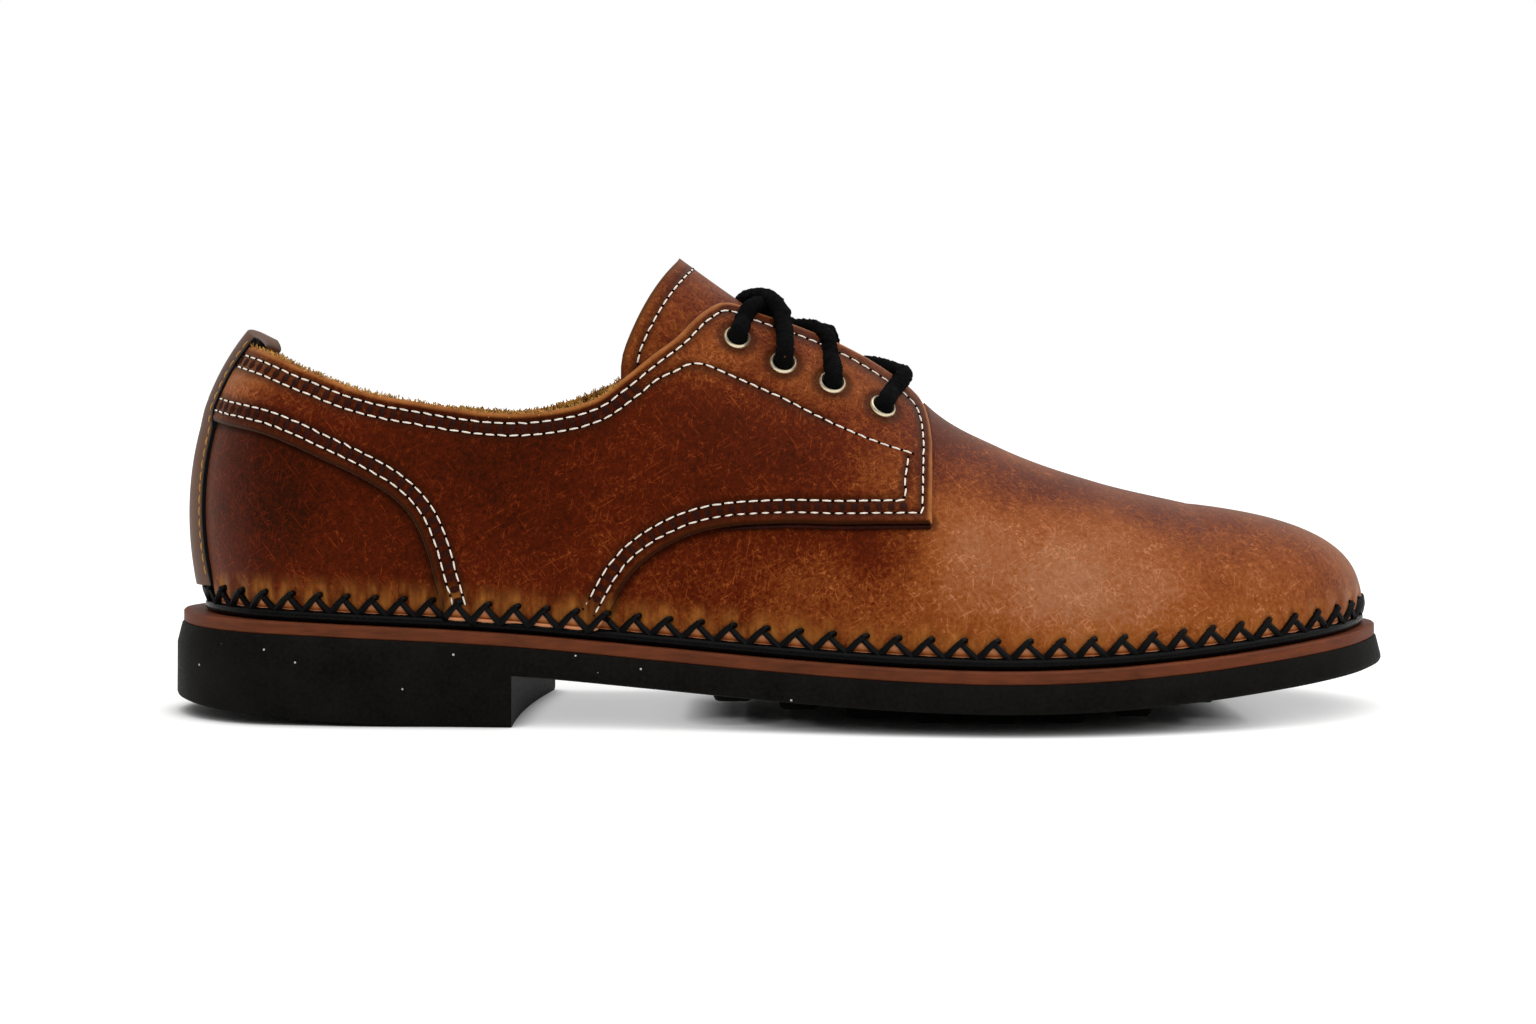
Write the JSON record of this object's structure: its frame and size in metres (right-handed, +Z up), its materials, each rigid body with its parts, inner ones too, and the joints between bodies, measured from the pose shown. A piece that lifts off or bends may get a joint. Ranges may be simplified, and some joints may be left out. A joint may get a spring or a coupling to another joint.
{
  "type": "derby shoe",
  "caption": "Low brown leather lace-up shoe for the right foot, open-laced over a tongue, corded to a leather midsole above a black rubber sole with a low heel.",
  "frame": {"origin": "on the floor, below the middle of the sole's outline", "axes": "+X towards the toe, +Y towards the inner side of the foot, +Z up"},
  "size_m": [0.304, 0.106, 0.1138],
  "materials": {
    "brown_pull_up_leather": "waxed, semi-matt",
    "dark_brown_leather": "burnished edge",
    "brown_sole_leather": "matt",
    "black_rubber": "matt",
    "tan_lining_leather": "suede",
    "antique_brass": "worn satin",
    "black_waxed_cotton": "waxed, matt"
  },
  "bodies": {
    "root": {"outsole": "black_rubber", "midsole": "brown_sole_leather", "insole": "tan_lining_leather", "upper": "brown_pull_up_leather", "tongue": "brown_pull_up_leather", "back_strip": "dark_brown_leather", "eyelet_lateral_1": "antique_brass", "eyelet_lateral_2": "antique_brass", "eyelet_lateral_3": "antique_brass", "eyelet_lateral_4": "antique_brass", "eyelet_medial_1": "antique_brass", "eyelet_medial_2": "antique_brass", "eyelet_medial_3": "antique_brass", "eyelet_medial_4": "antique_brass", "lace_bar_1": "black_waxed_cotton", "lace_bar_4": "black_waxed_cotton", "lace_cross_2": "black_waxed_cotton", "lace_cross_3": "black_waxed_cotton"}
  },
  "joints": []
}
